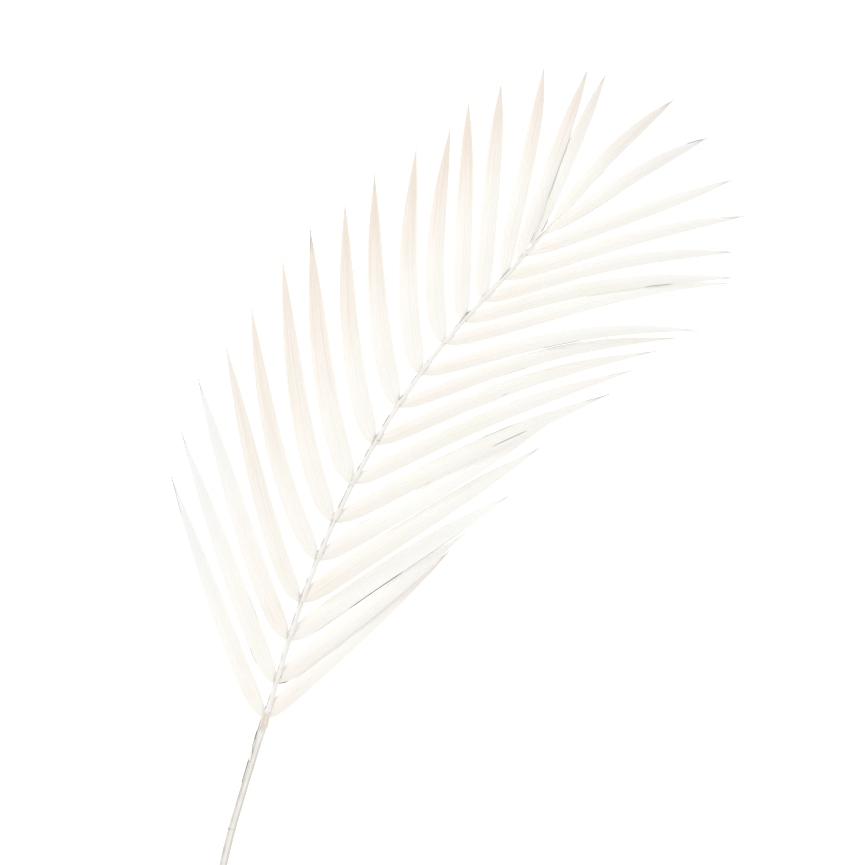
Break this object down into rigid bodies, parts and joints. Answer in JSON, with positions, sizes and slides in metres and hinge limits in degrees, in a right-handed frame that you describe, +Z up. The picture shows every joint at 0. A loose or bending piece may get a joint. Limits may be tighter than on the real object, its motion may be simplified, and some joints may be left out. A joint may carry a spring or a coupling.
{
  "type": "pinnate palm frond",
  "caption": "Dried, bleached feather-shaped palm leaf with a cut stem, arching over the surface it lies on; used flat as a decoration.",
  "frame": {"origin": "middle of the frond's box in plan, at the level of its lowest point, where it rests", "axes": "+Y runs up the frond from the cut end of the stem towards its tip, +X to its right seen from above with the upper face of the leaflets towards the viewer, +Z up"},
  "size_m": [0.4599, 0.6854, 0.0459],
  "materials": {
    "dried_leaf": "matt, dry and bleached"
  },
  "bodies": {
    "root": {"frond": "dried_leaf"}
  },
  "joints": []
}
